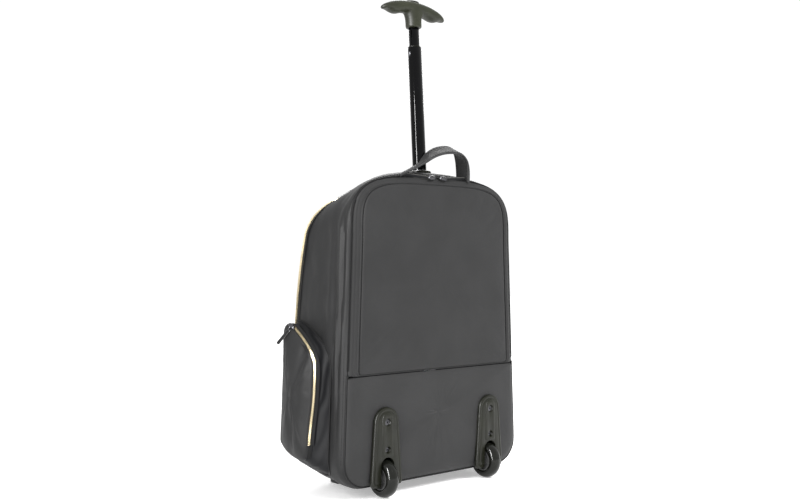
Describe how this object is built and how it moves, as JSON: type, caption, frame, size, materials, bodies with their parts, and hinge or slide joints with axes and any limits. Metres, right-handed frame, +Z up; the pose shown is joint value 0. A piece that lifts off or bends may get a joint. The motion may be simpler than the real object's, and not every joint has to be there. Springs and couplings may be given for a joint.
{
  "type": "rolling laptop backpack",
  "caption": "Grey nylon rolling laptop backpack with padded zip-open back panel, side pockets, inline wheels and a single-post telescopic T handle",
  "frame": {"origin": "on the floor under the middle of the whole object's bounding box, with the handle drawn out as it rests", "axes": "+Z up; -Y is the back, with the wheels and the padded panel; +Y is the front; +X runs across to the right seen from behind"},
  "size_m": [0.42, 0.1966, 0.7356],
  "materials": {
    "nylon": "grey padded nylon twill",
    "nylon_lower": "smooth grey coated nylon",
    "lining": "dark grey folded gusset and lining fabric",
    "board": "black stiffener board and wheel core",
    "gold": "pale gold zipper metal",
    "gunmetal": "dark gunmetal slider",
    "steel": "bare steel",
    "black_gloss": "glossy black anodised tube",
    "olive_plastic": "dark olive moulded plastic",
    "grip_plastic": "olive grey soft-touch plastic",
    "tyre": "glossy black polyurethane tyre",
    "rubber": "matte black rubber"
  },
  "bodies": {
    "case": {"main_shell": "nylon", "frame_board": "board", "base_board": "board", "lower_back_panel": "nylon_lower", "front_base_panel": "nylon", "arch_zipper": "gold", "side_pocket_gusset_left": "lining", "side_pocket_gusset_right": "lining", "outer_sleeve_tube": "steel", "handle_top_bezel": "olive_plastic", "sleeve_base_bracket": "olive_plastic", "laptop_sleeve": "lining", "front_foot_left": "rubber", "front_foot_right": "rubber", "wheel_housing_left": "olive_plastic", "wheel_axle_left": "steel", "housing_screw_upper_left": "steel", "housing_screw_lower_left": "steel", "wheel_housing_right": "olive_plastic", "wheel_axle_right": "steel", "housing_screw_upper_right": "steel", "housing_screw_lower_right": "steel"},
    "rear_panel": {"rear_flap": "nylon"},
    "front_panel": {"front_flap": "nylon", "front_pocket": "nylon"},
    "loop": {"carry_handle": "nylon"},
    "middle_stage": {"middle_tube": "black_gloss", "middle_tube_bush": "olive_plastic", "stage_lock_button": "rubber"},
    "inner_stage": {"inner_tube": "black_gloss", "grip_lower_shell": "grip_plastic", "grip_upper_shell": "grip_plastic"},
    "release": {"grip_button": "grip_plastic", "release_rod": "steel"},
    "wheel_left": {"wheel_hub_left": "board", "wheel_tyre_left": "tyre"},
    "pocket_door_left": {"side_pocket_panel_left": "nylon"},
    "pocket_zip_left": {"pocket_slider_left": "gunmetal"},
    "pocket_tab_left": {"pocket_pull_left": "nylon"},
    "rear_zip_left": {"rear_slider_left": "gunmetal"},
    "rear_tab_left": {"rear_pull_left": "nylon"},
    "front_zip_left": {"front_slider_left": "gold"},
    "front_tab_left": {"front_pull_left": "nylon"},
    "wheel_right": {"wheel_hub_right": "board", "wheel_tyre_right": "tyre"},
    "pocket_door_right": {"side_pocket_panel_right": "nylon"},
    "pocket_zip_right": {"pocket_slider_right": "gunmetal"},
    "pocket_tab_right": {"pocket_pull_right": "nylon"},
    "rear_zip_right": {"rear_slider_right": "gunmetal"},
    "rear_tab_right": {"rear_pull_right": "nylon"},
    "front_zip_right": {"front_slider_right": "gold"},
    "front_tab_right": {"front_pull_right": "nylon"}
  },
  "joints": [
    {"name": "rear_panel_hinge", "type": "hinge", "parent": "case", "child": "rear_panel", "pos_m": [0, -0.07775, 0.1743], "axis": [1, 0, 0], "range_deg": [0, 80]},
    {"name": "front_panel_hinge", "type": "hinge", "parent": "case", "child": "front_panel", "pos_m": [0, 0.08685, 0.08], "axis": [-1, 0, 0], "range_deg": [0, 75]},
    {"name": "loop_hinge", "type": "hinge", "parent": "case", "child": "loop", "pos_m": [0, -0.07425, 0.4655], "axis": [1, 0, 0], "range_deg": [0, 20], "stiffness_Nm_per_rad": 0.3},
    {"name": "middle_stage_slide", "type": "slide", "parent": "case", "child": "middle_stage", "axis": [0, 0.0628, 0.998], "range_m": [-0.178, 0.1]},
    {"name": "inner_stage_slide", "type": "slide", "parent": "middle_stage", "child": "inner_stage", "axis": [0, 0.0628, 0.998], "range_m": [-0.0285, 0.2]},
    {"name": "grip_button_press", "type": "slide", "parent": "inner_stage", "child": "release", "axis": [0, -0.0628, -0.998], "range_m": [0, 0.004], "stiffness_N_per_m": 500},
    {"name": "wheel_left_spin", "type": "hinge", "parent": "case", "child": "wheel_left", "pos_m": [-0.1025, -0.07075, 0.0275], "axis": [1, 0, 0], "continuous": true},
    {"name": "pocket_door_left_hinge", "type": "hinge", "parent": "case", "child": "pocket_door_left", "pos_m": [-0.18992, 0.05165, 0.15], "axis": [-0.0387, 0, -0.9993], "range_deg": [0, 70]},
    {"name": "pocket_slider_left_slide", "type": "slide", "parent": "pocket_door_left", "child": "pocket_zip_left", "axis": [0, -0.87, -0.493], "range_m": [0, 0.03]},
    {"name": "pocket_pull_left_hinge", "type": "hinge", "parent": "pocket_zip_left", "child": "pocket_tab_left", "pos_m": [-0.19407, 0.03262, 0.23738], "axis": [-0.0814, 0.9036, 0.4205], "range_deg": [0, 50]},
    {"name": "rear_slider_left_slide", "type": "slide", "parent": "case", "child": "rear_zip_left", "axis": [-0.9997, 0, -0.025], "range_m": [0, 0.04]},
    {"name": "rear_pull_left_hinge", "type": "hinge", "parent": "rear_zip_left", "child": "rear_tab_left", "pos_m": [-0.01773, -0.06922, 0.46294], "axis": [-0.0196, -0.6224, 0.7825], "range_deg": [0, 30]},
    {"name": "front_slider_left_slide", "type": "slide", "parent": "case", "child": "front_zip_left", "axis": [-0.9976, 0, -0.0698], "range_m": [0, 0.03]},
    {"name": "front_pull_left_hinge", "type": "hinge", "parent": "front_zip_left", "child": "front_tab_left", "pos_m": [-0.02527, 0.00392, 0.45579], "axis": [0.0336, 0.8767, -0.4798], "range_deg": [0, 35]},
    {"name": "wheel_right_spin", "type": "hinge", "parent": "case", "child": "wheel_right", "pos_m": [0.1025, -0.07075, 0.0275], "axis": [1, 0, 0], "continuous": true},
    {"name": "pocket_door_right_hinge", "type": "hinge", "parent": "case", "child": "pocket_door_right", "pos_m": [0.18992, 0.05165, 0.15], "axis": [-0.0387, 0, 0.9993], "range_deg": [0, 70]},
    {"name": "pocket_slider_right_slide", "type": "slide", "parent": "pocket_door_right", "child": "pocket_zip_right", "axis": [0, -0.87, -0.493], "range_m": [0, 0.03]},
    {"name": "pocket_pull_right_hinge", "type": "hinge", "parent": "pocket_zip_right", "child": "pocket_tab_right", "pos_m": [0.19407, 0.03262, 0.23738], "axis": [-0.0814, -0.9036, -0.4205], "range_deg": [0, 50]},
    {"name": "rear_slider_right_slide", "type": "slide", "parent": "case", "child": "rear_zip_right", "axis": [0.9997, 0, -0.025], "range_m": [0, 0.04]},
    {"name": "rear_pull_right_hinge", "type": "hinge", "parent": "rear_zip_right", "child": "rear_tab_right", "pos_m": [0.01773, -0.06922, 0.46294], "axis": [-0.0196, 0.6224, -0.7825], "range_deg": [0, 30]},
    {"name": "front_slider_right_slide", "type": "slide", "parent": "case", "child": "front_zip_right", "axis": [0.9976, 0, -0.0698], "range_m": [0, 0.03]},
    {"name": "front_pull_right_hinge", "type": "hinge", "parent": "front_zip_right", "child": "front_tab_right", "pos_m": [0.02527, 0.00392, 0.45579], "axis": [0.0336, -0.8767, 0.4798], "range_deg": [0, 35]}
  ]
}
